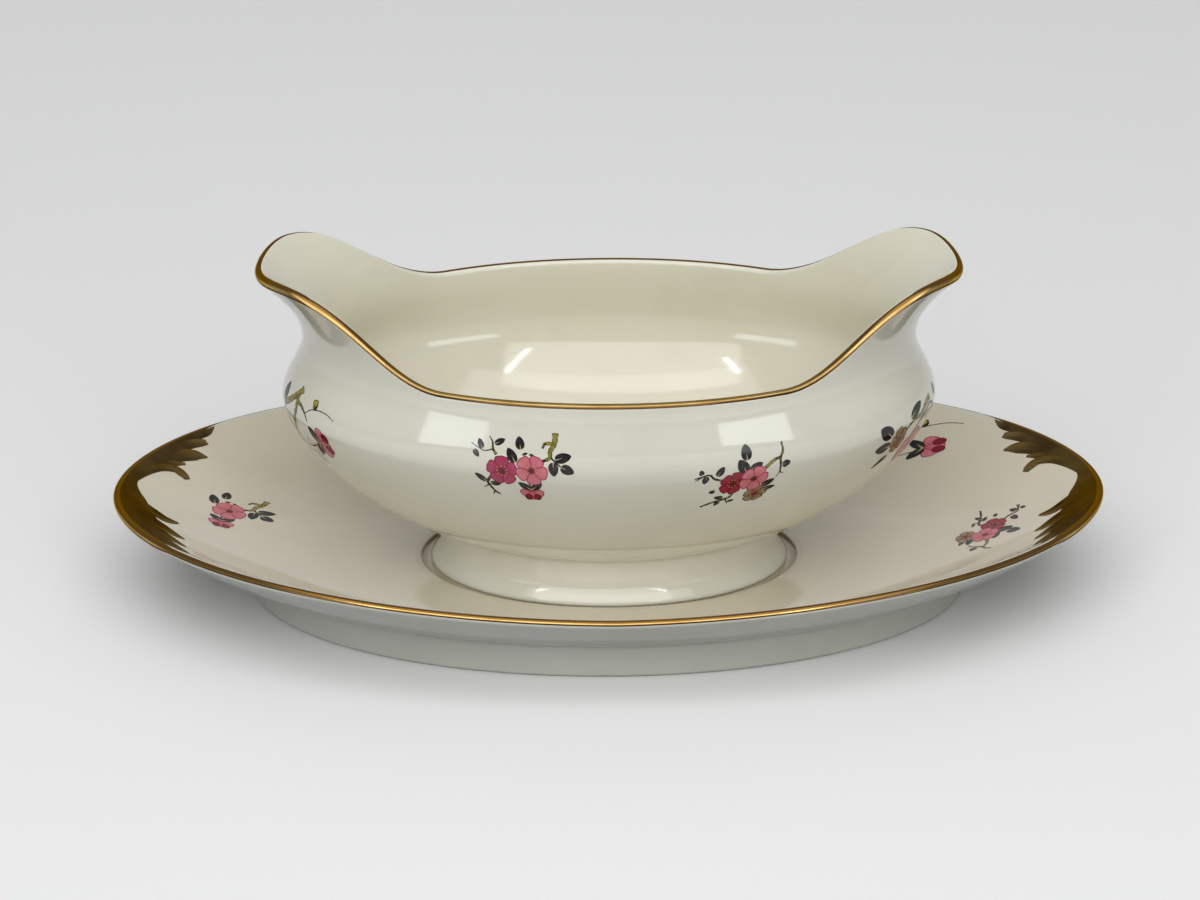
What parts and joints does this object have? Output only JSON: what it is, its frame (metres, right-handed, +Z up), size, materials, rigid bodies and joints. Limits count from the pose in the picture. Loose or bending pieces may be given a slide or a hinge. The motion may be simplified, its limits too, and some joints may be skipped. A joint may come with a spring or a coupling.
{
  "type": "gravy boat with stand",
  "caption": "Oval sauce boat with a pouring lip at each end and a pedestal foot, sitting loose in the shallow well of its own oval stand.",
  "frame": {"origin": "on the table, under the middle of the stand's foot ring", "axes": "+X along the boat towards one pouring lip, +Y across it, +Z up"},
  "size_m": [0.2359, 0.1388, 0.0831],
  "materials": {
    "stand_glaze": "gloss",
    "stand_gold": "burnished",
    "boat_glaze": "gloss",
    "boat_gold": "burnished"
  },
  "bodies": {
    "stand_body": {"stand": "stand_glaze", "stand_gilding": "stand_gold"},
    "boat_body": {"sauce_boat": "boat_glaze", "boat_gilding": "boat_gold"}
  },
  "joints": [
    {"name": "boat_lift", "type": "slide", "parent": "stand_body", "child": "boat_body", "axis": [0, 0, 1], "range_m": [0, 0.12]}
  ]
}
